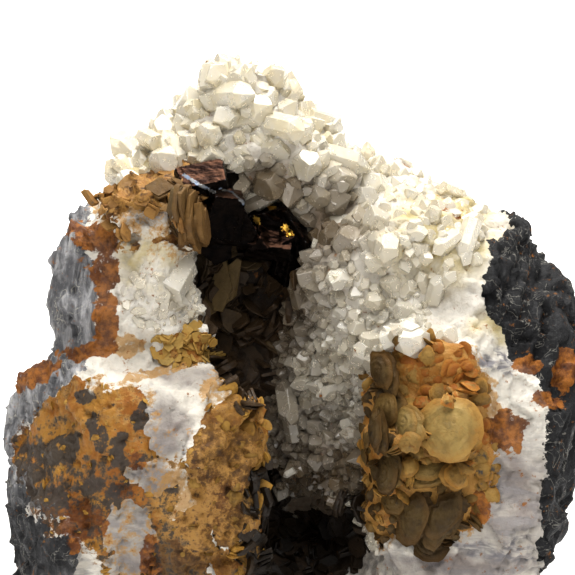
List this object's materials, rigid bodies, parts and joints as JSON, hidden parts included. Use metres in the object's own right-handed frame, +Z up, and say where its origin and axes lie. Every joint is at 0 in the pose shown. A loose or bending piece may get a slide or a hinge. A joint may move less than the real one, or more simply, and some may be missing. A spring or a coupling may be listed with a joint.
{
  "type": "chalcopyrite mineral specimen",
  "caption": "Hand specimen of white vein quartz between dark schist walls, with an open crystal pocket that holds chalcopyrite and siderite.",
  "frame": {"origin": "a point on the flat foot, under the middle of the specimen", "axes": "+Z up from the foot, X across the specimen, and the pocket opens towards -Y, which is the front"},
  "size_m": [0.0943, 0.0602, 0.0888],
  "materials": {
    "quartz_vein": "rough broken milky quartz",
    "quartz_druse": "glassy translucent crystals",
    "schist": "dark, fine-grained and slightly shiny",
    "siderite_brown": "dark brown, satin",
    "siderite_ochre": "weathered, earthy",
    "siderite_tan": "weathered, satin",
    "chalcopyrite": "tarnished metallic, with brassy glints"
  },
  "bodies": {
    "root": {"quartz_vein": "quartz_vein", "quartz_druse": "quartz_druse", "schist_left": "schist", "schist_right": "schist", "siderite_stack": "siderite_brown", "siderite_crust": "siderite_ochre", "siderite_lining": "siderite_ochre", "siderite_rosette": "siderite_tan", "siderite_blades": "siderite_brown", "chalcopyrite_upper": "chalcopyrite", "chalcopyrite_group": "chalcopyrite"}
  },
  "joints": []
}
